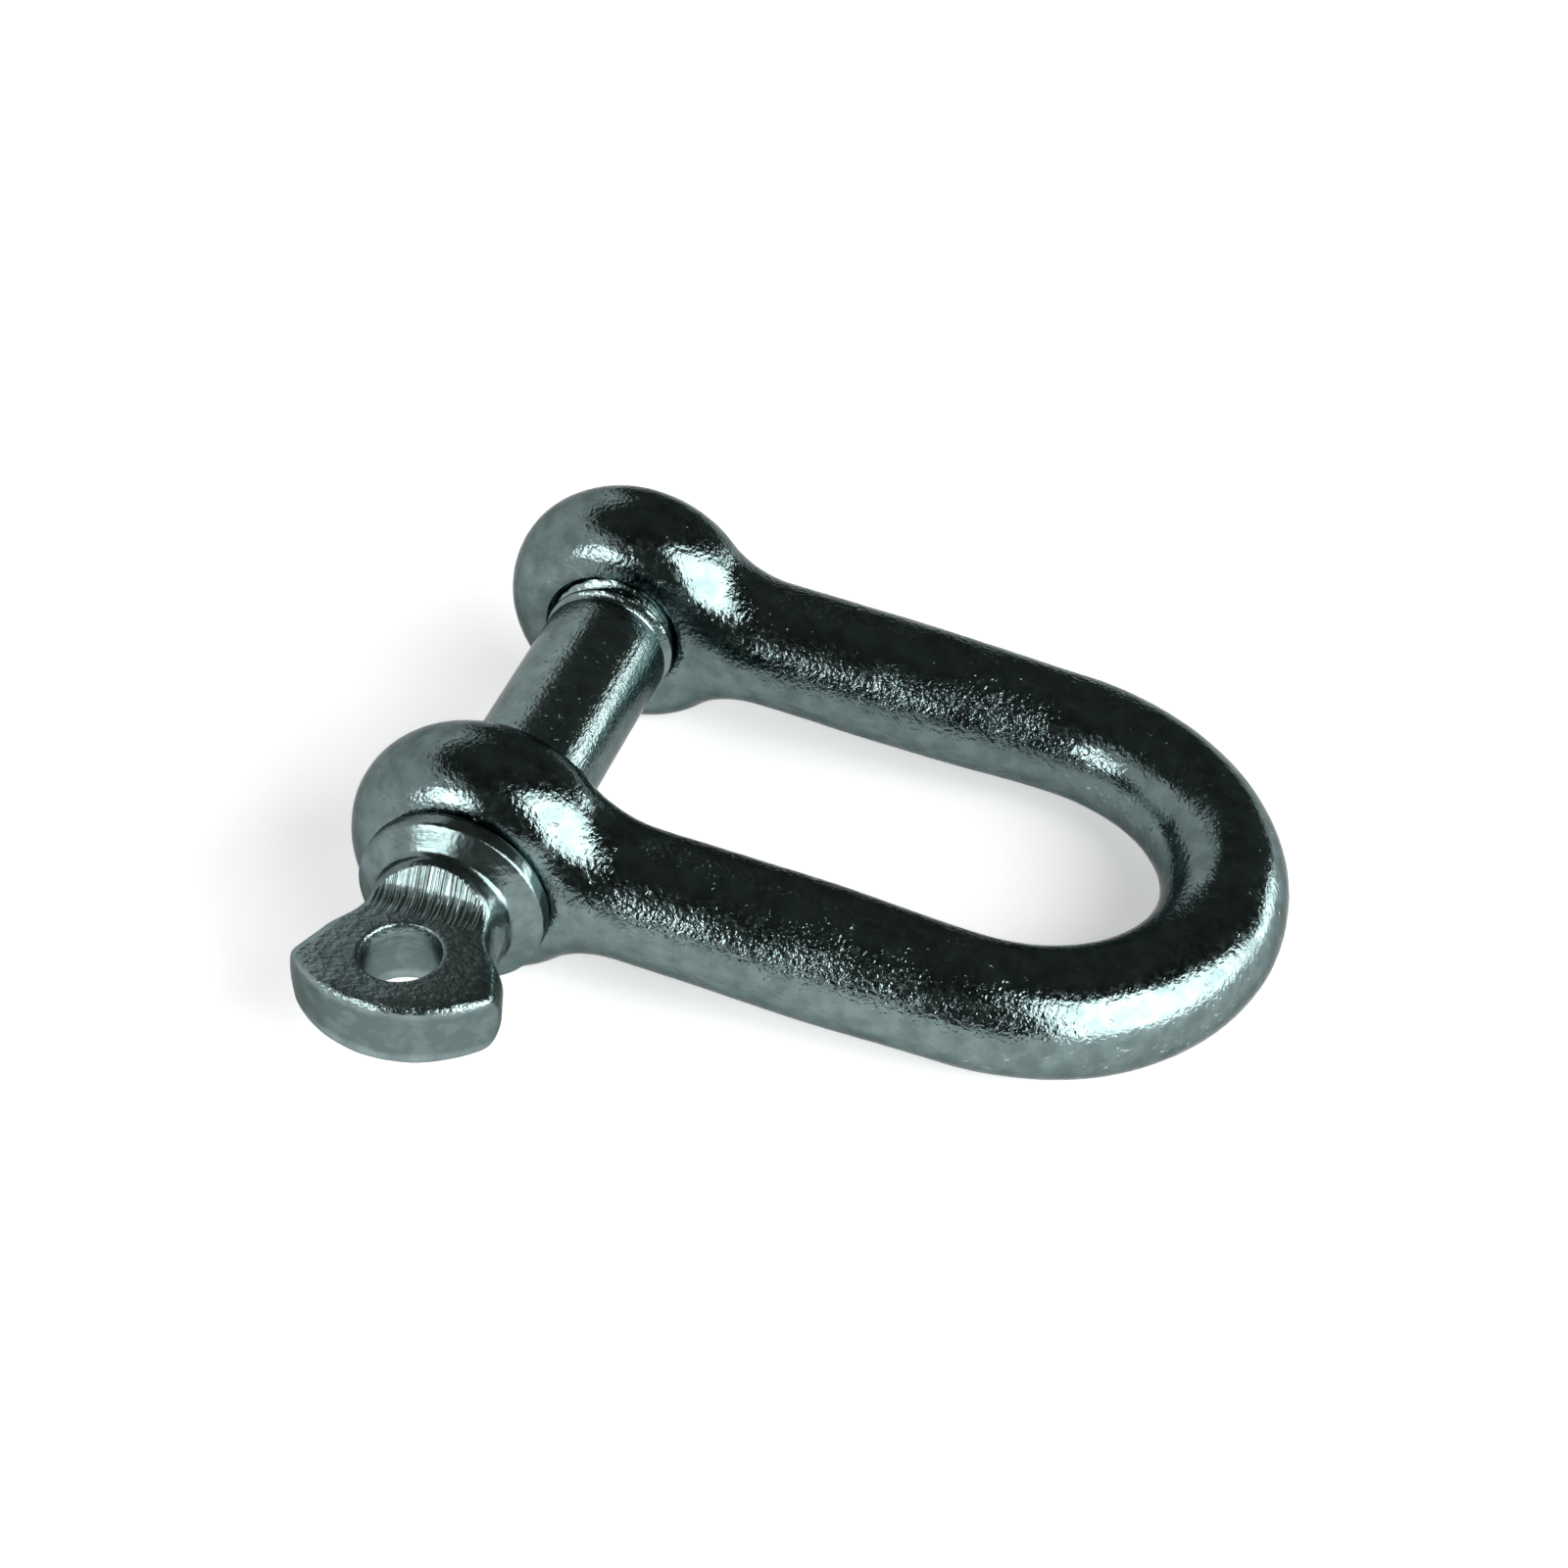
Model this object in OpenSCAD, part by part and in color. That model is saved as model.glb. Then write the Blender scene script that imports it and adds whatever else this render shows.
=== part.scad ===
// D-shackle with a screw collar pin, for joining chain. Millimetres.
// The pin lies along Y with its head at -Y, and the bow lies on its ears and crown, with the crown at +X.
// The origin is on the pin's axis, half way between the ears.

/* [Bow] */
// Diameter of the round bar at the necks, and the thickness of the ears
bar_d = 9.5; // [8:0.1:11]
// Diameter of the bar at the middle of each leg, where it swells a little
belly_d = 9.6; // [7.6:0.1:11]
// Diameter of the bar at the crown, where the bend has thinned it
crown_d = 9.1; // [7.6:0.1:11]
// Clear width between the two ears
jaw_w = 20.5; // [17:0.1:30]
// Length from the pin's axis to the inside of the crown
inside_l = 44.9; // [38:0.1:70]
// Outside diameter of each forged ear
ear_d = 19.2; // [18:0.1:23]
// Radius of the hollow where a leg spreads into its ear
neck_r = 6; // [4:0.1:10]
// Bevel round the mouth of each ear's hole
mouth_bevel = 0.4; // [0.2:0.05:0.8]
// Height of the fine step where the forged neck meets the drawn bar
neck_step = 0.03; // [0.02:0.01:0.1]

/* [Pin] */
// Diameter of the plain shank
shank_d = 9.5; // [8.5:0.1:9.7]
// Outside diameter of the thread
thread_d = 9.8; // [9.7:0.1:10.4]
// Length of thread that shows inside the jaw
thread_show = 2; // [0.5:0.1:5]
// Length of thread that stands proud of the far ear
thread_proud = 0.5; // [0.2:0.1:3]
// Bevel on the tip of the thread
tip_bevel = 0.9; // [0.3:0.1:1.5]

/* [Clearances] */
// Radial clearance of the thread in the tapped ear
thread_gap = 0.1; // [0.05:0.01:0.2]
// Radial clearance of the thread as it passes through the plain ear
pass_gap = 0.35; // [0.2:0.05:0.8]
// Gap between the collar and the ear that it seats on
seat_gap = 0.1; // [0.05:0.01:0.3]

/* [Head] */
// Diameter of the collar
collar_d = 13.5; // [12:0.1:16]
// Thickness of the collar at its rim
collar_t = 2; // [1.5:0.1:3.5]
// Bevel on both edges of the collar
collar_bevel = 0.35; // [0.1:0.05:0.6]
// Rise of the collar's front face towards the hub
collar_rise = 0.4; // [0.2:0.05:0.8]
// Diameter of the hub between the collar and the tab
hub_d = 9.9; // [9.3:0.1:10.5]
// Length of the hub, from the collar to the flat of the tab
hub_l = 3.9; // [3.2:0.1:5]
// Radius of the scoops that thin the hub to the tab
scoop_r = 3; // [2.6:0.1:3.2]
// Thickness of the flat tab
tab_t = 5; // [4.4:0.1:6]
// Width of the tab where it leaves the hub
root_w = 9.2; // [8.8:0.1:9.3]
// Angle at which each side of the tab flares
flare = 20; // [12:1:24]
// Length of the tab, from the hub to its tip
tab_l = 8.7; // [8:0.1:11]
// Radius of the tab's rounded tip, seen from above
tip_r = 9.3; // [8.8:0.1:11]
// Bevel along both edges of the tip
tab_bevel = 0.5; // [0.2:0.05:0.8]
// How far each side of the tab bulges beyond its top edge
side_bulge = 1.1; // [0.4:0.05:1.4]
// Distance from the tab's tip to the middle of its eye
eye_inset = 5.2; // [4.8:0.1:5.6]
// Diameter of the eye through the tab
eye_d = 5.4; // [4:0.1:5.8]
// Bevel round both mouths of the eye
eye_bevel = 0.3; // [0.1:0.05:0.5]

/* [Hidden] */
$fn = 96;
// Overlap that carries a cut past the face it opens, and a joined form into its neighbour
past = 1;
// Steps round each ear, along each hollow and across the round edge
ear_steps = 44;
hollow_steps = 6;
edge_steps = 18;

bar_r = bar_d / 2;
ear_r = ear_d / 2;
leg_y = (jaw_w + bar_d) / 2;
belly_r = belly_d / 2;
crown_r = crown_d / 2;
crown_x = inside_l + crown_r - leg_y;
ear_face = leg_y + bar_r;

// The bow has the bar's round edge all over, so an ear is a flat disc of this radius grown by the bar's radius
core_r = ear_r - bar_r;
// Middle of the hollow that touches both the leg's top line and the ear's rim, above the leg's axis
hollow_z = bar_r + neck_r;
hollow_x = sqrt(pow(ear_r + neck_r, 2) - pow(hollow_z, 2));
hollow_a = atan2(hollow_z, hollow_x);
// Slope at which the bow lies, with the ears and the crown on one plane
rest_tilt = asin((ear_r - crown_r) / (crown_x + leg_y));
// Radius of the bar where it leaves the neck, inside the flats of the neck's swept face
leg_r = bar_r * cos(90 / edge_steps) - neck_step;

shank_r = shank_d / 2;
thread_r = thread_d / 2;
tapped_r = thread_r + thread_gap;
plain_r = thread_r + pass_gap;

// Stations along the pin, measured from the middle of the jaw towards the head
tip_z = -ear_face - thread_proud;
thread_z = thread_show - jaw_w / 2;
collar_z = ear_face + seat_gap;
front_z = collar_z + collar_t;
hub_z = front_z + collar_rise;
root_z = front_z + hub_l;
end_z = root_z + tab_l;
eye_z = end_z - eye_inset;

collar_r = collar_d / 2;
hub_r = hub_d / 2;
eye_r = eye_d / 2;

// Rim of the flat core of an ear and its neck, as [x, z, outward angle], from the leg round the ear and back
function rim_line() = concat(
    [for (i = [0 : hollow_steps - 1])
        let (a = 270 - i * (90 - hollow_a) / hollow_steps)
        [hollow_x + hollow_z * cos(a), hollow_z + hollow_z * sin(a), a - 180]],
    [for (i = [0 : ear_steps])
        let (a = hollow_a + i * (360 - 2 * hollow_a) / ear_steps)
        [core_r * cos(a), core_r * sin(a), a]],
    [for (i = [hollow_steps - 1 : -1 : 0])
        let (a = 90 + i * (90 - hollow_a) / hollow_steps)
        [hollow_x + hollow_z * cos(a), hollow_z * sin(a) - hollow_z, a + 180]]
);

// Ear and neck: the flat core with the bar's round edge swept along its rim, ending in a round face for the leg
module ear() {
    rim = rim_line();
    last = len(rim) - 1;
    across = edge_steps + 1;
    points = [for (at = rim) for (j = [0 : edge_steps])
        let (b = 180 * j / edge_steps - 90)
        [at[0] + bar_r * cos(b) * cos(at[2]), bar_r * sin(b), at[1] + bar_r * cos(b) * sin(at[2])]];
    edge = [for (i = [0 : last - 1]) for (j = [0 : edge_steps - 1])
        [i * across + j, (i + 1) * across + j, (i + 1) * across + j + 1, i * across + j + 1]];
    near_side = [for (i = [last - 1 : -1 : 0]) i * across];
    far_side = [for (i = [0 : last - 1]) i * across + edge_steps];
    leg_face = concat(
        [for (j = [0 : edge_steps]) j],
        [for (j = [edge_steps - 1 : -1 : 1]) last * across + j]
    );
    polyhedron(points, concat(edge, [near_side, far_side, leg_face]));
}

// One leg with its ear, from the ear's middle at the origin to the start of the crown
module leg() {
    ear();
    rotate([0, 90, 0]) rotate_extrude() polygon([
        [0, hollow_x - past], [leg_r, hollow_x - past], [leg_r, hollow_x], [belly_r, (hollow_x + crown_x) / 2],
        [crown_r, crown_x], [0, crown_x]
    ]);
}

// Hole through an ear, with a bevelled mouth on both sides
module ear_hole(radius) {
    mouth = bar_r - mouth_bevel;
    flared = radius + mouth_bevel + past;
    rotate([90, 0, 0]) rotate_extrude() polygon([
        [0, -bar_r - past], [flared, -bar_r - past], [radius, -mouth],
        [radius, mouth], [flared, bar_r + past], [0, bar_r + past]
    ]);
}

module bow() {
    color("#86918f") rotate([0, rest_tilt, 0]) {
        difference() {
            union() {
                translate([0, -leg_y, 0]) leg();
                translate([0, leg_y, 0]) leg();
                translate([crown_x, 0, 0]) rotate([0, 0, -90])
                    rotate_extrude(angle = 180) translate([leg_y, 0]) circle(crown_r);
            }
            translate([0, -leg_y, 0]) ear_hole(plain_r);
            translate([0, leg_y, 0]) ear_hole(tapped_r);
        }
    }
}

// Turned part of the pin: thread, shank and collar
module turned_pin() {
    rotate([90, 0, 0]) rotate_extrude() polygon([
        [0, tip_z], [thread_r - tip_bevel, tip_z], [thread_r, tip_z + tip_bevel],
        [thread_r, thread_z], [shank_r, thread_z + thread_r - shank_r], [shank_r, collar_z],
        [collar_r - collar_bevel, collar_z], [collar_r, collar_z + collar_bevel],
        [collar_r, front_z - collar_bevel], [collar_r - collar_bevel, front_z],
        [hub_r, hub_z], [0, hub_z]
    ]);
}

// Side view of the head: full height at the hub, then a scoop above and below down to the flat of the tab
module head_side() {
    difference() {
        translate([-end_z - past, -hub_d]) square([end_z + past - front_z, 2 * hub_d]);
        for (side = [0, 1]) mirror([0, side]) {
            translate([-root_z, tab_t / 2 + scoop_r]) circle(scoop_r);
            translate([-end_z - 2 * past, tab_t / 2]) square([tab_l + 2 * past, 2 * hub_d]);
        }
    }
}

// Round plate with bevelled edges, whose rim forms the tip
module tip_disc() {
    edge = tab_t / 2 - tab_bevel;
    outer = tab_t / 2 + past;
    narrow = tip_r - tab_bevel - past;
    rotate_extrude() polygon([
        [0, -outer], [narrow, -outer], [tip_r, -edge],
        [tip_r, edge], [narrow, outer], [0, outer]
    ]);
}

// Flared plan of the tab inside its bulging sides, from inside the hub to past the tip
module flare_plan() {
    start = root_z - past;
    long = tab_l + 2 * past;
    narrow = root_w / 2 - side_bulge - past * tan(flare);
    wide = narrow + long * tan(flare);
    polygon([[-narrow, -start], [narrow, -start], [wide, -start - long], [-wide, -start - long]]);
}

// Bar whose round side is the tab's bulging +X side
module side_bar() {
    bulge_r = (pow(tab_t / 2, 2) + pow(side_bulge, 2)) / (2 * side_bulge);
    translate([root_w / 2, -root_z, 0]) rotate([0, 0, flare])
        translate([side_bulge - bulge_r, past, 0]) rotate([90, 0, 0])
            cylinder(r = bulge_r, h = past + 2 * tab_l);
}

// Flat tab with bulging sides and a rounded tip, before its height is cut
module tab() {
    intersection() {
        translate([0, tip_r - end_z, 0]) tip_disc();
        union() {
            linear_extrude(2 * tab_t, center = true) flare_plan();
            side_bar();
            mirror([1, 0, 0]) side_bar();
        }
    }
}

// Scoop that narrows the hub to the tab on its +X side, touching the flare of the tab's top edge
module waist_scoop() {
    translate([root_w / 2 + scoop_r * cos(flare), scoop_r * sin(flare) - root_z, -hub_d])
        cylinder(r = scoop_r, h = 2 * hub_d);
}

// Head in front of the collar: the hub, its scoops and the tab with its eye
module head() {
    difference() {
        intersection() {
            rotate([90, 0, 90]) linear_extrude(4 * tip_r, center = true) head_side();
            union() {
                translate([0, -front_z, 0]) rotate([90, 0, 0]) cylinder(r = hub_r, h = hub_l + past / 2);
                tab();
            }
        }
        waist_scoop();
        mirror([1, 0, 0]) waist_scoop();
        translate([0, -eye_z, 0]) eye_hole();
    }
}

// Eye through the tab, with a bevelled mouth on both sides
module eye_hole() {
    mouth = tab_t / 2 - eye_bevel;
    flared = eye_r + eye_bevel + past;
    rotate_extrude() polygon([
        [0, -tab_t / 2 - past], [flared, -tab_t / 2 - past], [eye_r, -mouth],
        [eye_r, mouth], [flared, tab_t / 2 + past], [0, tab_t / 2 + past]
    ]);
}

module screw_pin() {
    color("#a3afad") {
        turned_pin();
        head();
    }
}

bow();
screw_pin();
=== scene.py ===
"""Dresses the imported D-shackle: fine forged and threaded surfaces, bright zinc, floor, light and camera."""
import collections
import functools
import itertools
import math
import types

import bmesh
import bpy
import numpy as np
from mathutils import Matrix, Vector, noise


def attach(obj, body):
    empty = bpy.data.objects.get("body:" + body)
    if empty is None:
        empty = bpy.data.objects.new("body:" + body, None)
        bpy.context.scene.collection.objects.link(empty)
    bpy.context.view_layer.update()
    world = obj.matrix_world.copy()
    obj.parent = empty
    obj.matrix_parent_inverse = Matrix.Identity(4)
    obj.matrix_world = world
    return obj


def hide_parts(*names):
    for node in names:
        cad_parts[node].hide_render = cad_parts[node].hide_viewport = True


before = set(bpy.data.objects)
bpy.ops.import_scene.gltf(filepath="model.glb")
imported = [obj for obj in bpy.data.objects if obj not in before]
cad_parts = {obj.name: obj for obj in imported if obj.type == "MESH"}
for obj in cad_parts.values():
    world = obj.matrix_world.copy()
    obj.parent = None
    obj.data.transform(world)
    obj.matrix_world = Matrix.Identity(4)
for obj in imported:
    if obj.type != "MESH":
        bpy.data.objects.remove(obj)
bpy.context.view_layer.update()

MM = 0.001

# Sizes of the bow's solid, in millimetres
BAR_R = 4.75
BELLY_R = 4.8
CROWN_R = 4.55
LEG_Y = 15.0
CROWN_X = 34.45
EAR_R = 9.6
NECK_R = 6.0
MOUTH_BEVEL = 0.4
PLAIN_R = 5.25

# Share of a leg's length at which it is thickest
BELLY_AT = 0.5

# Sizes of the pin's solid, with stations measured from the middle of the jaw towards the head
SHANK_R = 4.75
THREAD_R = 4.9
THREAD_START = -8.25
TIP = -20.25
TIP_BEVEL = 0.9
COLLAR_R = 6.75
COLLAR_BACK = 19.85
HUB_R = 4.95
ROOT = 25.75
ROOT_W = 9.2
TAB_END = 34.45
TAB_T = 5.0
FLARE = math.radians(20)
TIP_R = 9.3
SIDE_BULGE = 1.1
WAIST_R = 3.0
EYE = 29.25
EYE_R = 2.7

# Finer form of the pin's head, within half a millimetre of its solid
COLLAR_FRONT = 21.4
COLLAR_ROUND = 0.35
COLLAR_FILLET = 0.25
HUB_RISE = 0.85
HUB_OVERLAP = 0.5
TAB_OVERLAP = 1.0
TAB_CORNER = 0.5
TAB_CROWN = 0.007
ROOT_FILLET = 0.3
SCOOP_FOOT = 25.5
SCOOP_FILLET = 1.9
SCOOP_SLOPE = math.radians(58)
WAIST_EDGE = 0.6
EYE_EDGE = 0.3

# Rounding of the tab's edges, which are rolled over on top near the tip, except at its -X corner
EDGE_SHARP = 0.35
EDGE_ROLLED = 0.95
ROLL_ACROSS = (-5.5, -2.0)
ROLL_ALONG = (30.5, 32.5)

# Real thread of the pin and the far ear, which the solids leave plain
PITCH = 1.5
THREAD_DEPTH = 0.8
CREST_SHARE = 0.2
THREAD_FADE = 1.0
NUT_GAP = 0.12

# Derived sizes, as in the solids, and the middle of the collar, where the shank's form ends
CORE_R = EAR_R - BAR_R
HOLLOW_R = BAR_R + NECK_R
HOLLOW_X = math.sqrt((EAR_R + NECK_R) ** 2 - HOLLOW_R**2)
HOLLOW_A = math.atan2(HOLLOW_R, HOLLOW_X)
REST_TILT = math.asin((EAR_R - CROWN_R) / (CROWN_X + LEG_Y))
COLLAR_MIDDLE = (COLLAR_BACK + COLLAR_FRONT) / 2

# Fineness of the meshes
EDGE_STEPS = 60
EAR_STEPS = 140
HOLLOW_STEPS = 16
FLAT_STEPS = 6
PLAIN_ROWS = 4
TAPPED_ROWS = 110
LEG_STEPS = 70
CROWN_STEPS = 140
THREAD_STEP = 0.08
SHANK_STEP = 0.4
TURN_STEPS = 128
HALVINGS = 40
NET_CELL = 0.15
NET_MARGIN = 0.4
NET_PASSES = 4
NET_PROBE = NET_CELL / 10
NET_LEAST_SLOPE = 0.1
MERGE = 0.002
SHARP = math.radians(38)

# Waves of the forging by height and spacing, and the radii or stations over which they fade in
FORGED_WAVES = ((0.05, 6.0), (0.014, 1.7))
FORGED_FROM = (5.6, 7.5)
TAB_WAVES = ((0.03, 3.0), (0.012, 1.2))
TAB_WAVES_FROM = (ROOT - 1, ROOT + 2)


def smooth_step(x, low, high):
    """Share that goes smoothly from 0 to 1 while x goes from low to high."""
    t = np.clip((x - low) / (high - low), 0, 1)
    return t * t * (3 - 2 * t)


def placed(name, data):
    """New object in the scene from a mesh, lamp or camera."""
    made = bpy.data.objects.new(name, data)
    bpy.context.scene.collection.objects.link(made)
    return made


def mesh_object(name, points, faces):
    """Object from points in millimetres, with doubled points merged and the faces turned outwards."""
    mesh = bpy.data.meshes.new(name)
    mesh.from_pydata((np.asarray(points) * MM).tolist(), [], faces)
    work = bmesh.new()
    work.from_mesh(mesh)
    bmesh.ops.remove_doubles(work, verts=work.verts, dist=MERGE * MM)
    bmesh.ops.recalc_face_normals(work, faces=work.faces)
    work.to_mesh(mesh)
    work.free()
    return placed(name, mesh)


def ring_faces(rows, columns, start):
    """Quads between rows of points, each row a closed ring, numbered row by row from start."""
    return [
        (
            start + i * columns + j,
            start + (i + 1) * columns + j,
            start + (i + 1) * columns + (j + 1) % columns,
            start + i * columns + (j + 1) % columns,
        )
        for i in range(rows - 1)
        for j in range(columns)
    ]


def rings_object(name, grids):
    """Object from grids of points, each grid a stack of closed rings."""
    points, faces, start = [], [], 0
    for grid in grids:
        rows, columns = grid.shape[:2]
        faces += ring_faces(rows, columns, start)
        points.append(grid.reshape(-1, 3))
        start += rows * columns
    return mesh_object(name, np.concatenate(points), faces)


def roughen(piece, waves, share):
    """Moves each point along its normal by the sum of the waves times share(points), in millimetres."""
    count = len(piece.data.vertices)
    place, normal = np.empty(count * 3), np.empty(count * 3)
    piece.data.vertices.foreach_get("co", place)
    piece.data.vertices.foreach_get("normal", normal)
    at = place.reshape(-1, 3) / MM
    height = np.array([sum(h * noise.noise(Vector(p) / spacing) for h, spacing in waves) for p in at])
    moved = at + normal.reshape(-1, 3) * (height * share(at))[:, None]
    piece.data.vertices.foreach_set("co", (moved * MM).ravel())
    piece.data.update()


def shade(piece):
    """Smooth shading that breaks only at sharp edges."""
    mesh = piece.data
    work = bmesh.new()
    work.from_mesh(mesh)
    for face in work.faces:
        face.smooth = True
    for edge in work.edges:
        edge.smooth = len(edge.link_faces) == 2 and edge.calc_face_angle(0) < SHARP
    work.to_mesh(mesh)
    work.free()


def thread_radius(turn, station):
    """Radius of the full thread at an angle round the pin and a station along it."""
    phase = (station / PITCH - turn / (2 * math.pi)) % 1.0
    flank = (1 - 2 * CREST_SHARE) / 2
    fall = np.clip((np.abs(phase - 0.5) - CREST_SHARE / 2) / flank, 0, 1)
    return THREAD_R - THREAD_DEPTH * fall


def plain_wall(turn, station):
    """Radius of the plain hole, the same everywhere."""
    return np.full(np.broadcast(turn, station).shape, PLAIN_R)


def tapped_wall(turn, station):
    """Radius of the tapped hole, a hair outside the pin's own thread."""
    return thread_radius(turn, station) + NUT_GAP


def rim_line():
    """Rim of an ear's flat core and neck, with its outward directions.

    It runs from the top of the leg round the ear to the leg's underside.
    """
    share = np.linspace(0, 1, HOLLOW_STEPS, endpoint=False)
    sweep = math.pi / 2 - HOLLOW_A
    upper = 1.5 * math.pi - share * sweep
    lower = 0.5 * math.pi + share[::-1] * sweep
    ear = np.linspace(HOLLOW_A, 2 * math.pi - HOLLOW_A, EAR_STEPS + 1)
    rim = np.concatenate([
        np.stack([HOLLOW_X + HOLLOW_R * np.cos(upper), HOLLOW_R + HOLLOW_R * np.sin(upper)], 1),
        np.stack([CORE_R * np.cos(ear), CORE_R * np.sin(ear)], 1),
        np.stack([HOLLOW_X + HOLLOW_R * np.cos(lower), HOLLOW_R * np.sin(lower) - HOLLOW_R], 1),
    ])
    angle = np.concatenate([upper - math.pi, ear, lower + math.pi])
    return rim, np.stack([np.cos(angle), np.sin(angle)], 1)


def mouth_angles(rim, outward, hole_r):
    """Angle on the round edge where the hole's bevelled mouth meets it, or the flat's edge elsewhere."""
    flat = np.full(len(rim), -math.pi / 2)
    low, high = flat, np.zeros(len(rim))
    for _ in range(HALVINGS):
        middle = (low + high) / 2
        reach = np.linalg.norm(rim + BAR_R * np.cos(middle)[:, None] * outward, axis=1)
        clear = reach > hole_r + MOUTH_BEVEL - BAR_R - BAR_R * np.sin(middle)
        low, high = np.where(clear, low, middle), np.where(clear, middle, high)
    cut = np.linalg.norm(rim, axis=1) < hole_r + MOUTH_BEVEL
    return np.where(cut, high, flat)


def ear_loops(side, hole_r, wall, wall_rows):
    """Closed loops of points across one ear: flat, round edge, flat, and back through the hole.

    side is -1 at the head and 1 at the far ear. wall(turn, station) is the hole's radius inside its mouths.
    """
    rim, outward = rim_line()
    start = mouth_angles(rim, outward, hole_r)
    edge = start[:, None] * np.linspace(1, -1, EDGE_STEPS + 1)
    edge_xz = rim[:, None] + BAR_R * np.cos(edge)[..., None] * outward[:, None]
    edge_y = BAR_R * np.sin(edge)
    first = edge_xz[:, 0]
    turn = np.arctan2(first[:, 1], first[:, 0])
    ray = np.stack([np.cos(turn), np.sin(turn)], 1)
    mouth = np.where((start > -math.pi / 2)[:, None], first, (hole_r + MOUTH_BEVEL) * ray)
    share = np.linspace(0, 1, FLAT_STEPS, endpoint=False)[:, None]
    flat_xz = mouth[:, None] * (1 - share) + first[:, None] * share
    flat_y = np.repeat(edge_y[:, :1], FLAT_STEPS, 1)
    wall_y = np.tile(np.linspace(BAR_R - MOUTH_BEVEL, MOUTH_BEVEL - BAR_R, wall_rows), (len(rim), 1))
    wall_xz = wall(turn[:, None], side * wall_y - side * LEG_Y)[..., None] * ray[:, None]
    xz = np.concatenate([flat_xz, edge_xz, flat_xz[:, ::-1], wall_xz], 1)
    y = np.concatenate([flat_y, edge_y, -flat_y, wall_y], 1)
    return np.stack([xz[..., 0], side * (LEG_Y - y), xz[..., 1]], 2)


def bar_rings():
    """Rings of points along one leg, round the crown and back along the other leg."""
    half = np.linspace(-math.pi / 2, math.pi / 2, EDGE_STEPS + 1)
    across = np.concatenate([np.sin(half), np.sin(half[-2:0:-1])])
    height = np.concatenate([np.cos(half), -np.cos(half[-2:0:-1])])
    along = np.linspace(0, 1, LEG_STEPS, endpoint=False)
    leg_x = HOLLOW_X + along * (CROWN_X - HOLLOW_X)
    leg_y = np.full(LEG_STEPS, LEG_Y)
    bend = np.linspace(-math.pi / 2, math.pi / 2, CROWN_STEPS + 1)
    to_belly = (BELLY_R - BAR_R) * smooth_step(along, 0, BELLY_AT)
    to_crown = (CROWN_R - BELLY_R) * smooth_step(along, BELLY_AT, 1)
    swell = BAR_R + to_belly + to_crown
    centre_x = np.concatenate([leg_x, CROWN_X + LEG_Y * np.cos(bend), leg_x[::-1]])
    centre_y = np.concatenate([-leg_y, LEG_Y * np.sin(bend), leg_y])
    out_x = np.concatenate([0 * leg_x, np.cos(bend), 0 * leg_x])
    out_y = np.concatenate([-leg_y / LEG_Y, np.sin(bend), leg_y / LEG_Y])
    radius = np.concatenate([swell, np.full(len(bend), CROWN_R), swell[::-1]])
    inward = radius[:, None] * across
    x = centre_x[:, None] - inward * out_x[:, None]
    y = centre_y[:, None] - inward * out_y[:, None]
    return np.stack([x, y, radius[:, None] * height], 2)


def make_bow():
    """The forged bow with its plain and tapped holes, lying on its ears and crown."""
    bow = rings_object("forged_bow", [
        ear_loops(-1, PLAIN_R, plain_wall, PLAIN_ROWS),
        ear_loops(1, THREAD_R + NUT_GAP, tapped_wall, TAPPED_ROWS),
        bar_rings(),
    ])
    roughen(bow, FORGED_WAVES, lambda at: smooth_step(np.hypot(at[:, 0], at[:, 2]), *FORGED_FROM))
    bow.data.transform(Matrix.Rotation(REST_TILT, 4, "Y"))
    shade(bow)
    return bow


def shank_radius(station, turn):
    """Radius of the turned pin at a station, with a thread that fades in and has a bevelled tip."""
    tip = THREAD_R - TIP_BEVEL + (station - TIP)
    thread = np.minimum(thread_radius(turn, station), tip)
    faded = smooth_step(station, THREAD_START - THREAD_FADE, THREAD_START)
    return thread * (1 - faded) + SHANK_R * faded


def make_shank():
    """Thread and shank as one turned form, closed at both ends, with its inner end inside the collar."""
    stations = np.concatenate([
        np.arange(TIP, THREAD_START, THREAD_STEP),
        np.arange(THREAD_START, COLLAR_MIDDLE, SHANK_STEP),
        [COLLAR_MIDDLE],
    ])
    turn = np.linspace(0, 2 * math.pi, TURN_STEPS, endpoint=False)
    radius = shank_radius(stations[:, None], turn[None])
    along = np.repeat(-stations[:, None], TURN_STEPS, 1)
    wall = np.stack([radius * np.cos(turn), along, radius * np.sin(turn)], 2)
    ends = [np.repeat(np.array([[[0, -s, 0]]], float), TURN_STEPS, 1) for s in (TIP, COLLAR_MIDDLE)]
    return rings_object("shank", [np.concatenate([ends[0], wall, ends[1]])])


def smooth_max(a, b, blend):
    """The larger of two distances, with the edge between them rounded over blend."""
    h = np.maximum(blend - np.abs(a - b), 0) / blend
    return np.maximum(a, b) + h * h * blend / 4


def smooth_min(a, b, blend):
    """The smaller of two distances, with the corner between them filled over blend."""
    return -smooth_max(-a, -b, blend)


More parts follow.
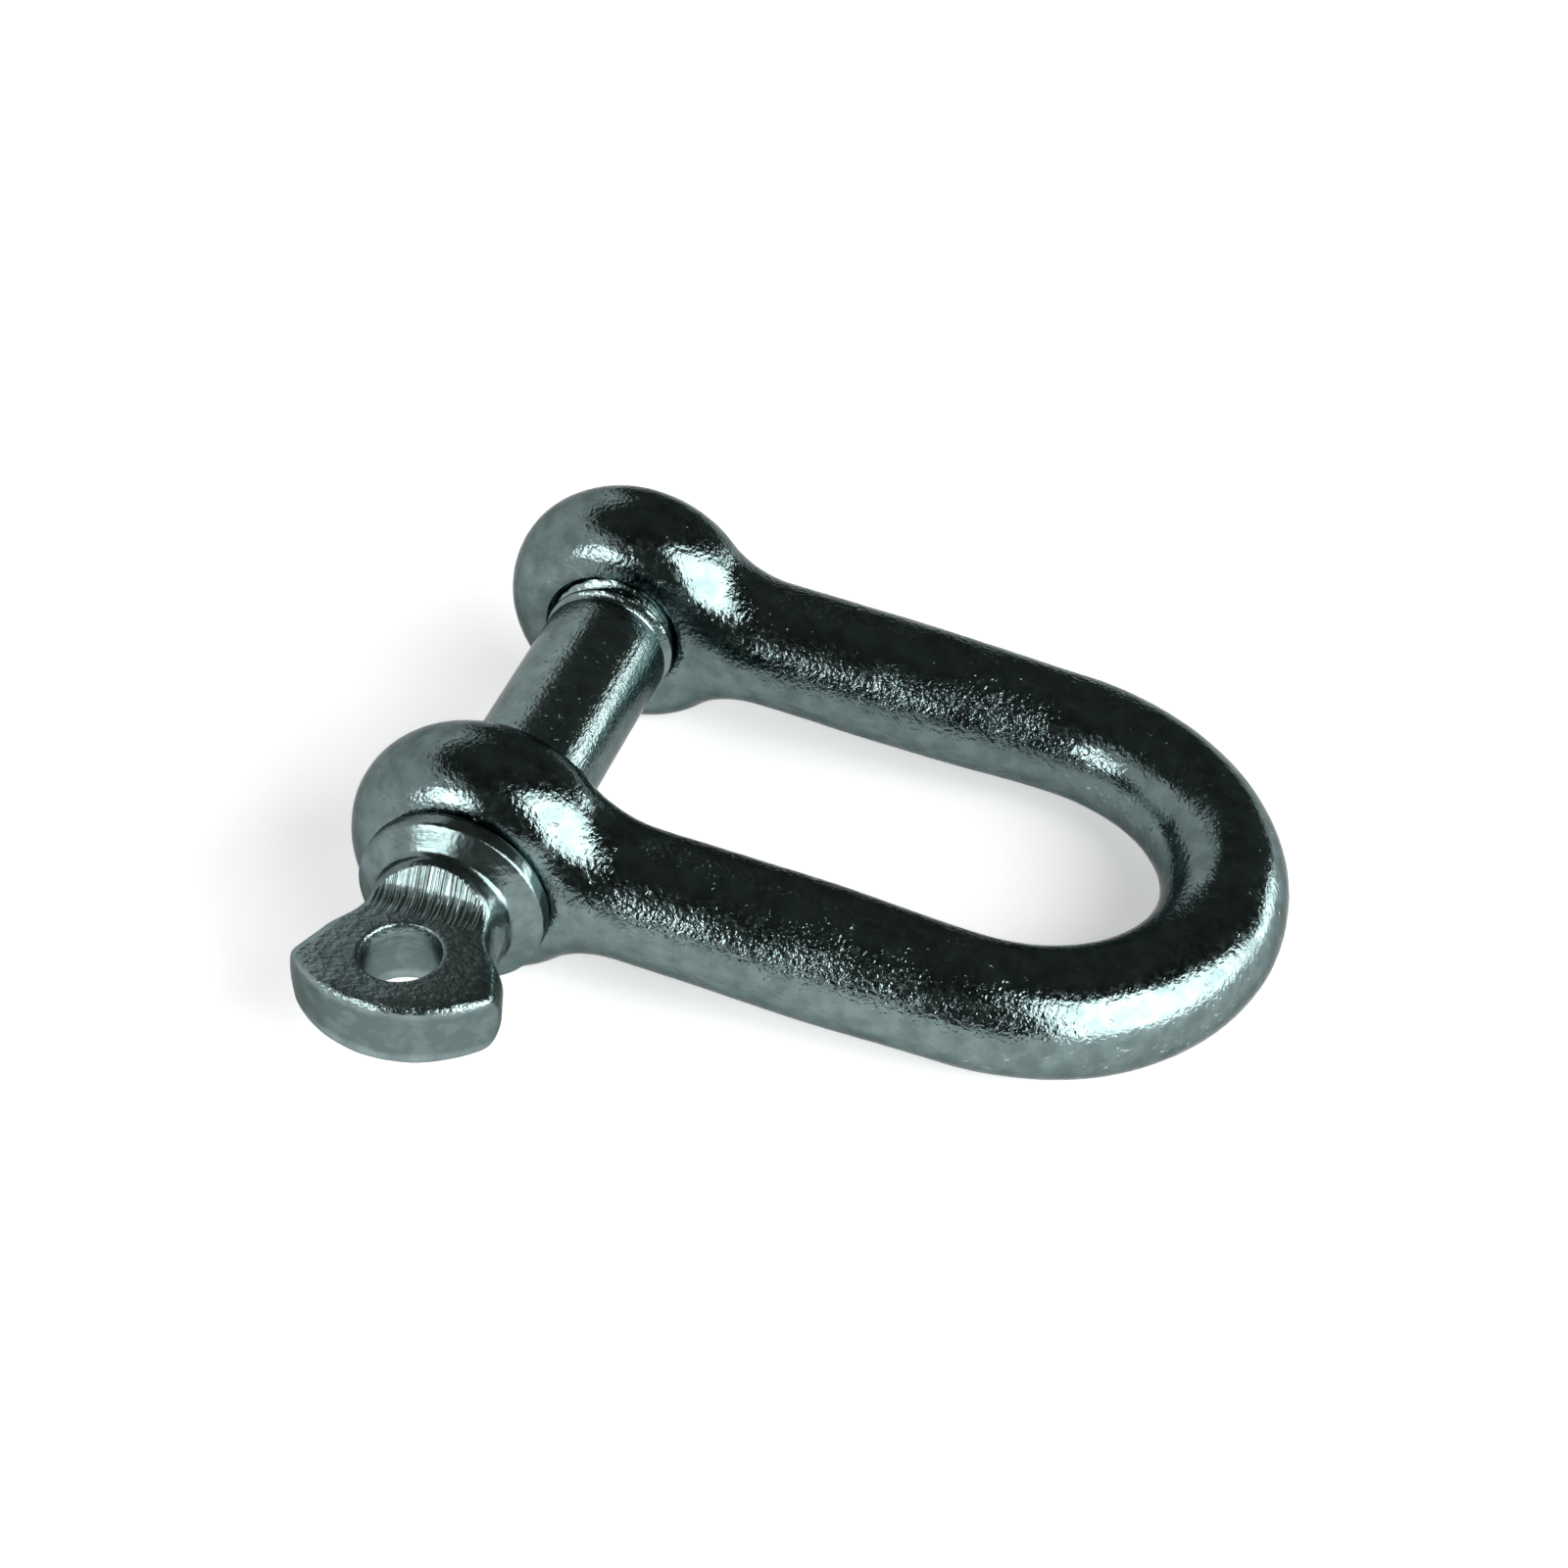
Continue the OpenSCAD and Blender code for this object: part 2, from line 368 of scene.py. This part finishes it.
def collar_distance(round_r, s):
    """Signed distance to the collar with its rounded rim and conical front, by radius and station."""
    rim_r = COLLAR_R - COLLAR_ROUND
    out_r = round_r - rim_r
    out_s = np.abs(s - COLLAR_MIDDLE) - (COLLAR_FRONT - COLLAR_MIDDLE - COLLAR_ROUND)
    outside = np.hypot(np.maximum(out_r, 0), np.maximum(out_s, 0))
    ring = outside + np.minimum(np.maximum(out_r, out_s), 0) - COLLAR_ROUND
    slope = math.atan2(HUB_RISE, rim_r - HUB_R)
    cone = (s - COLLAR_FRONT - HUB_RISE) * math.cos(slope) + (round_r - HUB_R) * math.sin(slope)
    forward = np.minimum(ring, np.maximum(out_r, COLLAR_MIDDLE - s))
    return np.maximum(forward, np.where(s > COLLAR_MIDDLE, cone, ring))


def tab_distance(x, s, z):
    """Signed distance to the flared tab with its bulging sides and round tip, before its faces are cut."""
    disc = np.hypot(x, s - TAB_END + TIP_R) - TIP_R
    bulge_r = ((TAB_T / 2) ** 2 + SIDE_BULGE**2) / (2 * SIDE_BULGE)
    flared = (np.abs(x) - ROOT_W / 2) * math.cos(FLARE) - (s - ROOT) * math.sin(FLARE)
    beyond = flared + bulge_r - SIDE_BULGE
    side = np.where(beyond > 0, np.hypot(beyond, z) - bulge_r, np.abs(z) - bulge_r)
    return np.maximum(smooth_max(disc, side, TAB_CORNER), ROOT - TAB_OVERLAP - s)


def face_distance(x, s, z):
    """Signed distance beyond the tab's two crowned faces and the scoops that lead from them to the hub."""
    over = np.abs(z) - TAB_T / 2 + TAB_CROWN * x**2
    off_s, off_z = s - SCOOP_FOOT, over - SCOOP_FILLET
    slope_s, slope_z = math.sin(SCOOP_SLOPE), math.cos(SCOOP_SLOPE)
    fillet = SCOOP_FILLET - np.hypot(off_s, off_z)
    straight = off_s * slope_s + off_z * slope_z + SCOOP_FILLET
    in_fillet = off_z * slope_s - off_s * slope_z < 0
    return np.where(off_s > 0, over, np.where(in_fillet, fillet, straight))


def head_distance(at):
    """Signed distance to the collar, hub and tab, at points of x, station and z."""
    x, s, z = at[..., 0], at[..., 1], at[..., 2]
    round_r = np.hypot(x, z)
    hub = np.maximum(np.maximum(round_r - HUB_R, COLLAR_MIDDLE - s), s - ROOT - HUB_OVERLAP)
    body = smooth_min(hub, tab_distance(x, s, z), ROOT_FILLET)
    rolled = smooth_step(x, *ROLL_ACROSS) * smooth_step(s, *ROLL_ALONG) * smooth_step(z, 0, TAB_T / 4)
    body = smooth_max(body, face_distance(x, s, z), EDGE_SHARP + (EDGE_ROLLED - EDGE_SHARP) * rolled)
    waist_x = ROOT_W / 2 + WAIST_R * math.cos(FLARE)
    waist_s = ROOT - WAIST_R * math.sin(FLARE)
    body = smooth_max(body, WAIST_R - np.hypot(np.abs(x) - waist_x, s - waist_s), WAIST_EDGE)
    body = smooth_max(body, EYE_R - np.hypot(x, s - EYE), EYE_EDGE)
    return smooth_min(body, collar_distance(round_r, s), COLLAR_FILLET)


def net_object(name, distance, low, high):
    """Object from the zero surface of a distance, with one point in each grid cell that it crosses."""
    axes = [np.arange(a, b + NET_CELL, NET_CELL) for a, b in zip(low, high)]
    inside = distance(np.stack(np.meshgrid(*axes, indexing="ij"), -1)) < 0
    cells = tuple(n - 1 for n in inside.shape)
    corners = list(itertools.product((0, 1), repeat=3))
    count = np.zeros(cells, int)
    for dx, dy, dz in corners:
        count += inside[dx:dx + cells[0], dy:dy + cells[1], dz:dz + cells[2]]
    crossed = np.argwhere((count > 0) & (count < len(corners)))
    number = np.full(cells, -1)
    number[tuple(crossed.T)] = np.arange(len(crossed))
    points = np.stack([axes[k][crossed[:, k]] for k in range(3)], 1) + NET_CELL / 2
    probes = np.eye(3) * NET_PROBE
    for _ in range(NET_PASSES):
        rise = np.stack([distance(points + probe) - distance(points - probe) for probe in probes], 1)
        slope = rise / (2 * NET_PROBE)
        points -= (distance(points) / np.maximum((slope**2).sum(1), NET_LEAST_SLOPE))[:, None] * slope
    faces = []
    for axis in range(3):
        one, two = [k for k in range(3) if k != axis]
        here = np.moveaxis(inside, axis, 0)
        for i, j, k in np.argwhere(here[:-1] != here[1:]):
            corner = []
            for dj, dk in ((1, 1), (0, 1), (0, 0), (1, 0)):
                cell = [0, 0, 0]
                cell[axis], cell[one], cell[two] = i, j - dj, k - dk
                corner.append(int(number[tuple(cell)]))
            faces.append(corner)
    points = np.stack([points[:, 0], -points[:, 1], points[:, 2]], 1)
    return mesh_object(name, points, faces)


def make_pin():
    """The screw pin in one piece: thread, shank, collar and forged head."""
    low = (-TIP_R, COLLAR_BACK - NET_MARGIN, -COLLAR_R - NET_MARGIN)
    high = (TIP_R, TAB_END + NET_MARGIN, COLLAR_R + NET_MARGIN)
    pin = net_object("screw_pin_head", head_distance, low, high)
    roughen(pin, TAB_WAVES, lambda at: smooth_step(-at[:, 1], *TAB_WAVES_FROM))
    shank = make_shank()
    join = pin.modifiers.new("join", "BOOLEAN")
    join.operation, join.solver, join.object = "UNION", "MANIFOLD", shank
    joined = bpy.data.meshes.new_from_object(pin.evaluated_get(bpy.context.evaluated_depsgraph_get()))
    pin.modifiers.clear()
    pin.data = joined
    pin.name = "threaded_pin"
    bpy.data.objects.remove(shank)
    shade(pin)
    return pin


# Tones of zinc, and the tint of what it reflects at a grazing angle
DULL_ZINC = (0.1, 0.137, 0.137, 1)
ZINC = (0.15, 0.2, 0.2, 1)
BRIGHT_ZINC = (0.205, 0.268, 0.266, 1)
# Pale tone of the flecks that are painted glints on the crown's low side
GLINT_ZINC = (0.45, 0.52, 0.52, 1)
GRAZING_TINT = (0.45, 0.45, 0.45, 1)

# A noise by its grain size and bump height in millimetres, its stretch along x, y and z, and its detail
Grain = collections.namedtuple("Grain", "size height stretch detail", defaults=(1.0, (1, 1, 1), 2.0))
NOISE_ROUGHNESS = 0.55

# Stains on both pieces, and the span of their noise
STAINS = Grain(1.5, detail=6.0)
STAIN_SPAN = (0.37, 0.63)

# Relief of the bow: its grain with domes, patches where both are coarser, and nicks
FORGED_GRAIN = Grain(0.34, 0.1)
PEBBLE_SIZE = 0.42
PEBBLE_HEIGHT = 0.03
PATCHES = Grain(4.5)
PATCH_SPAN = (0.35, 0.65)
PATCH_GRAIN = (0.6, 1.2)
EAR_FADE = (EAR_R - 2, EAR_R + 3)
EAR_GRAIN = 0.4
CROWN_FADE = (CROWN_X, CROWN_X + 8)
CROWN_GRAIN = 0.4
NICKS = Grain(0.8)
NICK_SPAN = (0.7, 0.76)
NICK_DEPTH = 0.04

# Gloss and tones of the bow: hazy spots, stains, and pale flecks on the low side of the crown, which are
# painted glints of small nicks
HAZE = Grain(0.5, detail=4.0)
HAZE_SPAN = (0.4, 0.7)
BOW_ROUGHNESS = (0.08, 0.26)
BOW_STAIN = 0.5
GLINT_FLECKS = Grain(0.4, stretch=(1.6, 1.6, 0.7))
GLINT_FLECK_SPAN = (0.64, 0.68)
GLINT_FLECK_TONE = 0.5
GLINT_FADE = (CROWN_X - 4, CROWN_X + 4)
GLINT_FLECK_TOP = (-4.5, -2.5)

# Where one surface of the pin fades into the next, by station, radius or height over the tab's middle
SHANK_FADE = (COLLAR_BACK - 0.5, COLLAR_BACK)
HUB_FADE = (COLLAR_FRONT + HUB_RISE, COLLAR_FRONT + HUB_RISE + 0.2)
TURNED_FADE = (ROOT - 1, ROOT)
TAB_FADE = (ROOT - 0.3, ROOT + 0.3)
HUB_SKIN = (HUB_R - 0.25, HUB_R - 0.1)
EYE_FADE = (EYE_R + 0.05, EYE_R + 0.3)
FACE_FADE = (TAB_T / 2 - 1.1, TAB_T / 2 - 0.6)
FLAT_FADE = (TAB_T / 2 - 0.3, TAB_T / 2 - 0.1)

# Relief of the pin
SCRATCHES = Grain(0.25, 0.02, (1, 12, 1), 3.0)
SHANK_GRAIN = Grain(0.28, 0.045, (1, 1.5, 1), 3.0)
PITS = Grain(0.5)
PIT_SPAN = (0.68, 0.72)
PIT_DEPTH = 0.03
DENTS = Grain(1.1, 0.06)
STREAKS = Grain(0.35, 0.05, (5, 5, 1), 3.0)
STRIATIONS = Grain(0.22, 0.12, (1, 90, 90))
HAMMERING = Grain(0.36, 0.12, (1.6, 1, 1), 3.0)
TURNING = Grain(0.2, 0.012)
TURNING_ON_TAB = 0.3

# Roughness of the pin's surfaces
SHANK_ROUGHNESS = 0.12
TURNED_ROUGHNESS = 0.22
TAB_ROUGHNESS = 0.32
EDGE_ROUGHNESS = 0.2
EYE_ROUGHNESS = 0.3

# Tones of the pin, from 0 for dull zinc to 1 for bright: its stains, and the painted shade and sheen that
# surfaces add to them
PIN_STAIN = (0.45, 1)
# Painted shade: the tab's side, tip and eye walls are coloured darker
RIM_PAINTED_SHADE = -0.7
# Painted shade in the shank's pits
PIT_PAINTED_SHADE = -0.8
# Painted sheen: the scoops are coloured brighter than the collar around them
SCOOP_PAINTED_SHEEN = 0.4
# Painted shade: the collar and hub are coloured darker, which dims their highlights
COLLAR_PAINTED_SHADE = -0.5


def node(tree, kind, links=(), **values):
    """Adds a node, sets its named properties and inputs, and links its inputs from other nodes' outputs."""
    made = tree.nodes.new(kind)
    for name, value in values.items():
        if hasattr(made, name):
            setattr(made, name, value)
        else:
            made.inputs[name.replace("_", " ").title()].default_value = value
    for socket, source in links:
        tree.links.new(source, made.inputs[socket])
    return made


def math_node(tree, operation, *terms):
    """Result of an operation whose terms are sockets or numbers."""
    made = tree.nodes.new("ShaderNodeMath")
    made.operation = operation
    for socket, term in zip(made.inputs, terms):
        if isinstance(term, (int, float)):
            socket.default_value = term
        else:
            tree.links.new(term, socket)
    return made.outputs[0]


def product(tree, *terms):
    """Product of sockets and numbers."""
    return functools.reduce(functools.partial(math_node, tree, "MULTIPLY"), terms)


def total(tree, *terms):
    """Sum of sockets and numbers."""
    return functools.reduce(functools.partial(math_node, tree, "ADD"), terms)


def ramp(tree, value, low, high, start, end):
    """Value that runs from start to end while the given socket goes from low to high."""
    made = node(tree, "ShaderNodeMapRange", [("Value", value)])
    for name, number in (("From Min", low), ("From Max", high), ("To Min", start), ("To Max", end)):
        made.inputs[name].default_value = number
    return made.outputs[0]


def ripple(tree, place, grain):
    """Noise between 0 and 1 with the grain's size, stretch and detail."""
    scaled = node(tree, "ShaderNodeMapping", [("Vector", place)])
    scaled.inputs["Scale"].default_value = [1 / (grain.size * s) for s in grain.stretch]
    made = node(
        tree, "ShaderNodeTexNoise", [("Vector", scaled.outputs[0])],
        scale=1.0, detail=grain.detail, roughness=NOISE_ROUGHNESS,
    )
    return made.outputs["Fac"]


def bumps(tree, place, grain):
    """Height of the grain's noise in millimetres."""
    return product(tree, ripple(tree, place, grain), grain.height)


def scale_vector(tree, vector, factor):
    """Vector times a number."""
    made = node(tree, "ShaderNodeVectorMath", [(0, vector)], operation="SCALE")
    made.inputs["Scale"].default_value = factor
    return made.outputs[0]


def split(tree, vector):
    """The x, y and z of a vector."""
    return node(tree, "ShaderNodeSeparateXYZ", [("Vector", vector)]).outputs[:3]


def span(tree, a, b):
    """Length of the line that goes a one way and b across it."""
    line = node(tree, "ShaderNodeCombineXYZ", [("X", a), ("Y", b)])
    return node(tree, "ShaderNodeVectorMath", [(0, line.outputs[0])], operation="LENGTH").outputs["Value"]


def pebbles(tree, place):
    """Height of close-set domes: 0 at their tops, and about half of PEBBLE_HEIGHT lower between them."""
    cells = node(
        tree, "ShaderNodeTexVoronoi", [("Vector", scale_vector(tree, place, 1 / PEBBLE_SIZE))], scale=1.0,
    ).outputs["Distance"]
    return product(tree, cells, cells, -PEBBLE_HEIGHT)


def zinc(name):
    """Bright zinc: its material, node tree and shader, and the place on the piece in millimetres."""
    material = bpy.data.materials.new(name)
    material.use_nodes = True
    tree = material.node_tree
    metal = tree.nodes["Principled BSDF"]
    metal.inputs["Metallic"].default_value = 1
    metal.inputs["Specular Tint"].default_value = GRAZING_TINT
    place = scale_vector(tree, node(tree, "ShaderNodeTexCoord").outputs["Object"], 1 / MM)
    return material, tree, metal, place


def colour(tree, metal, share, *tones):
    """Colours the metal through evenly spaced tones as a share goes from 0 to 1."""
    made = node(tree, "ShaderNodeValToRGB", [("Fac", share)])
    stops = made.color_ramp.elements
    for _ in tones[2:]:
        stops.new(0.5)
    for number, tone in enumerate(tones):
        stops[number].position = number / (len(tones) - 1)
        stops[number].color = tone
    tree.links.new(made.outputs["Color"], metal.inputs["Base Color"])


def relief(tree, metal, height):
    """Bumps the metal by a height in millimetres."""
    bump = node(tree, "ShaderNodeBump", [("Height", height)], strength=1.0, distance=MM)
    tree.links.new(bump.outputs[0], metal.inputs["Normal"])


def forged_zinc():
    """Zinc over the grain of the forging, which is coarser in patches."""
    material, tree, metal, place = zinc("bow_zinc_grain")
    x, _, z = split(tree, place)

    patches = ramp(tree, ripple(tree, place, PATCHES), *PATCH_SPAN, *PATCH_GRAIN)
    from_ear = ramp(tree, span(tree, x, z), *EAR_FADE, EAR_GRAIN, 1)
    to_crown = ramp(tree, x, *CROWN_FADE, 1, CROWN_GRAIN)
    skin = total(tree, bumps(tree, place, FORGED_GRAIN), pebbles(tree, place))
    nicks = ramp(tree, ripple(tree, place, NICKS), *NICK_SPAN, 0, -NICK_DEPTH)
    relief(tree, metal, total(tree, product(tree, skin, patches, from_ear, to_crown), nicks))

    gloss = ramp(tree, ripple(tree, place, HAZE), *HAZE_SPAN, *BOW_ROUGHNESS)
    tree.links.new(gloss, metal.inputs["Roughness"])

    stains = ramp(tree, ripple(tree, place, STAINS), *STAIN_SPAN, 0, BOW_STAIN)
    # Painted glints: pale flecks of small nicks, towards the crown and on its low side only
    glint_flecks = ramp(tree, ripple(tree, place, GLINT_FLECKS), *GLINT_FLECK_SPAN, 0, GLINT_FLECK_TONE)
    glint_at_crown = ramp(tree, x, *GLINT_FADE, 0, 1)
    glint_low_side = ramp(tree, z, *GLINT_FLECK_TOP, 1, 0)
    share = total(tree, stains, product(tree, glint_flecks, glint_at_crown, glint_low_side))
    colour(tree, metal, share, DULL_ZINC, ZINC, GLINT_ZINC)
    return material


def pin_zones(tree, x, y, z, station, radius):
    """Shares from 0 to 1 that say which of the pin's surfaces a place is on."""
    height = math_node(tree, "ABSOLUTE", z)
    shank = ramp(tree, station, *SHANK_FADE, 1, 0)
    tab = ramp(tree, station, *TAB_FADE, 0, 1)
    waist = math_node(tree, "SUBTRACT", ramp(tree, station, *HUB_FADE, 0, 1), tab)
    face = product(tree, tab, ramp(tree, height, *FACE_FADE, 0, 1))
    flat = product(tree, tab, ramp(tree, height, *FLAT_FADE, 0, 1))
    return types.SimpleNamespace(
        shank=shank,
        collar=math_node(tree, "SUBTRACT", math_node(tree, "SUBTRACT", 1, shank), tab),
        scoop=product(tree, waist, ramp(tree, radius, *HUB_SKIN, 1, 0)),
        turned=ramp(tree, station, *TURNED_FADE, 1, TURNING_ON_TAB),
        face=face,
        rim=math_node(tree, "SUBTRACT", tab, face),
        flat=flat,
        edge=math_node(tree, "SUBTRACT", face, flat),
        eye=ramp(tree, span(tree, x, total(tree, y, EYE)), *EYE_FADE, 1, 0),
    )


def pin_zinc():
    """Zinc over the drawn shank, the turned collar, the milled scoops and the forged tab of the pin."""
    material, tree, metal, place = zinc("pin_zinc_grain")
    x, y, z = split(tree, place)
    radius = span(tree, x, z)
    on = pin_zones(tree, x, y, z, product(tree, y, -1), radius)
    pits = product(tree, ramp(tree, ripple(tree, place, PITS), *PIT_SPAN, 0, 1), on.shank)

    drawn = total(tree, bumps(tree, place, SCRATCHES), bumps(tree, place, SHANK_GRAIN))
    lathe = node(tree, "ShaderNodeCombineXYZ", [("X", radius), ("Y", y)]).outputs[0]
    relief(tree, metal, total(
        tree,
        product(tree, drawn, on.shank),
        product(tree, pits, -PIT_DEPTH),
        product(tree, bumps(tree, place, STRIATIONS), on.scoop),
        product(tree, bumps(tree, place, HAMMERING), on.face),
        product(tree, bumps(tree, lathe, TURNING), on.turned),
        product(tree, bumps(tree, place, DENTS), on.collar),
        product(tree, bumps(tree, place, STREAKS), on.rim),
    ))

    finishes = ((on.shank, SHANK_ROUGHNESS), (on.flat, TAB_ROUGHNESS), (on.edge, EDGE_ROUGHNESS))
    gloss = TURNED_ROUGHNESS
    for zone, roughness in finishes:
        gloss = total(tree, gloss, product(tree, zone, roughness - TURNED_ROUGHNESS))
    gloss = math_node(tree, "MAXIMUM", gloss, product(tree, on.eye, EYE_ROUGHNESS))
    tree.links.new(gloss, metal.inputs["Roughness"])

    # Painted shade on the tab's walls, the pits, the collar and the hub, and a painted sheen on the scoops
    tones = ((on.rim, RIM_PAINTED_SHADE), (pits, PIT_PAINTED_SHADE), (on.scoop, SCOOP_PAINTED_SHEEN), (on.collar, COLLAR_PAINTED_SHADE))
    share = ramp(tree, ripple(tree, place, STAINS), *STAIN_SPAN, *PIN_STAIN)
    for zone, tone in tones:
        share = total(tree, share, product(tree, zone, tone))
    colour(tree, metal, share, DULL_ZINC, BRIGHT_ZINC)
    return material


def dress(piece, material, body, cad_node):
    """Gives a piece its material and its body, and hides the solid that it stands for."""
    piece.data.materials.clear()
    piece.data.materials.append(material)
    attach(piece, body)
    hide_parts(cad_node)


dress(make_bow(), forged_zinc(), "bow", "bow")
dress(make_pin(), pin_zinc(), "pin", "screw_pin")

# Studio, in metres: a pale floor, and grey cards that darken what the metal reflects
FLOOR_Z = -EAR_R * MM
FLOOR_WIDTH = 40.0
FLOOR_GLOW = 0.4
FLOOR_COLOUR = (0.95, 0.95, 0.95, 1)
WORLD_COLOUR = (1, 1, 1, 1)
FLAG_TINT = (0.95, 1.05, 0.92)
FLAG_HEIGHT = 2.0
FLAG_DISTANCE = 1.3
FLAG_MIDDLE = 0.95
CEILING_R = 1.2
CEILING_Z = 1.2
CEILING_STEPS = 48
CEILING_GREY = 0.1


def oblong(width, height):
    """Corners of a level rectangle."""
    return [(x * width / 2, y * height / 2, 0) for x, y in ((-1, -1), (1, -1), (1, 1), (-1, 1))]


def circle(radius, steps):
    """Points round a level circle."""
    turns = np.linspace(0, 2 * math.pi, steps, endpoint=False)
    return [(radius * math.cos(turn), radius * math.sin(turn), 0) for turn in turns]


def card(name, outline, material):
    """Flat part of the studio, which isn't part of the object."""
    mesh = bpy.data.meshes.new(name)
    mesh.from_pydata(outline, [], [range(len(outline))])
    mesh.materials.append(material)
    shown = placed(name, mesh)
    return shown


def pale_paper():
    """Matt white that glows a little where it is seen directly or in the metal, and keeps its shadows."""
    material = bpy.data.materials.new("pale_floor")
    material.use_nodes = True
    tree = material.node_tree
    tree.nodes.clear()
    ray = node(tree, "ShaderNodeLightPath").outputs
    seen = math_node(tree, "MAXIMUM", ray["Is Camera Ray"], ray["Is Glossy Ray"])
    seen = math_node(tree, "MAXIMUM", seen, ray["Is Transmission Ray"])
    shine = node(tree, "ShaderNodeEmission", [("Strength", product(tree, seen, FLOOR_GLOW))])
    matt = node(tree, "ShaderNodeBsdfDiffuse")
    matt.inputs["Color"].default_value = FLOOR_COLOUR
    both = node(tree, "ShaderNodeAddShader", [(0, shine.outputs[0]), (1, matt.outputs[0])])
    node(tree, "ShaderNodeOutputMaterial", [("Surface", both.outputs[0])])
    return material


def flag(name, outline, grey):
    """Card that darkens what the metal reflects. The camera doesn't see it."""
    material = bpy.data.materials.new(name)
    material.use_nodes = True
    surface = material.node_tree.nodes["Principled BSDF"]
    surface.inputs["Base Color"].default_value = (*(grey * tint for tint in FLAG_TINT), 1)
    surface.inputs["Roughness"].default_value = 1.0
    surface.inputs["Specular IOR Level"].default_value = 0.0
    shown = card(name, outline, material)
    shown.visible_camera = False
    return shown


def softbox(name, width, height, brightness):
    """Rectangular soft lamp with its brightness as seen from the front."""
    lamp = bpy.data.lights.new(name, "AREA")
    lamp.shape = "RECTANGLE"
    lamp.size, lamp.size_y = width, height
    lamp.energy = brightness * math.pi * width * height
    return placed(name, lamp)


def heading(azimuth):
    """Level direction at an azimuth in degrees, where 0 is towards -Y and 90 towards +X."""
    return Vector((math.sin(math.radians(azimuth)), -math.cos(math.radians(azimuth)), 0))


def upright(shown, azimuth, distance, sideways, height):
    """Stands a flat thing upright, facing the object, at a distance along an azimuth and moved sideways."""
    level = heading(azimuth) * distance + heading(azimuth + 90) * sideways
    shown.location = level + Vector((0, 0, height))
    shown.rotation_euler = (-heading(azimuth)).to_track_quat("-Z", "Y").to_euler()


# Floor and white surroundings
floor = card("floor", oblong(FLOOR_WIDTH, FLOOR_WIDTH), pale_paper())
floor.location.z = FLOOR_Z
world = bpy.data.worlds.new("studio")
bpy.context.scene.world = world
world.use_nodes = True
world.node_tree.nodes["Background"].inputs["Color"].default_value = WORLD_COLOUR

# Lamps
window = softbox("window", width=0.98, height=0.46, brightness=7.2)
upright(window, azimuth=47, distance=0.35, sideways=0.45, height=0.215)
head_lamp = softbox("small_softbox", width=0.23, height=0.16, brightness=8.5)
upright(head_lamp, azimuth=-26, distance=0.5, sideways=0, height=0.17)
crown_lamp = softbox("low_softbox", width=0.25, height=0.12, brightness=8.0)
upright(crown_lamp, azimuth=130, distance=0.6, sideways=0, height=0.045)

# Flags: one overhead, and three upright by name, azimuth, width and grey
ceiling = flag("ceiling_flag", circle(CEILING_R, CEILING_STEPS), CEILING_GREY)
ceiling.location.z = CEILING_Z
for flag_name, flag_azimuth, flag_width, flag_grey in (
    ("back_flag", 164, 2.34, 0.1),
    ("front_flag", 5, 1.4, 0.2),
    ("right_flag", 79, 2.69, 0.1),
):
    side_flag = flag(flag_name, oblong(flag_width, FLAG_HEIGHT), flag_grey)
    upright(side_flag, flag_azimuth, FLAG_DISTANCE, 0, FLAG_MIDDLE)

# Camera, fitted to the photo's outline
CAMERA_TARGET = Vector((17.42, -1.74, 0.0)) * MM
CAMERA_AZIMUTH = 16.69
CAMERA_ELEVATION = math.radians(39.98)
CAMERA_ROLL = math.radians(2.03)
CAMERA_DISTANCE = 218.4 * MM
LENS = 70.6
SENSOR_WIDTH = 36
CLIP_START = 0.01
camera_data = bpy.data.cameras.new("camera")
camera_data.lens = LENS
camera_data.sensor_width = SENSOR_WIDTH
camera_data.clip_start = CLIP_START
camera = placed("camera", camera_data)
back = heading(CAMERA_AZIMUTH) * math.cos(CAMERA_ELEVATION) + Vector((0, 0, math.sin(CAMERA_ELEVATION)))
roll = Matrix.Rotation(CAMERA_ROLL, 4, "Z").to_quaternion()
camera.rotation_mode = "QUATERNION"
camera.rotation_quaternion = (-back).to_track_quat("-Z", "Y") @ roll
camera.location = CAMERA_TARGET + back * CAMERA_DISTANCE
bpy.context.scene.camera = camera
bpy.context.scene.view_settings.view_transform = "Standard"

bpy.context.view_layer.update()
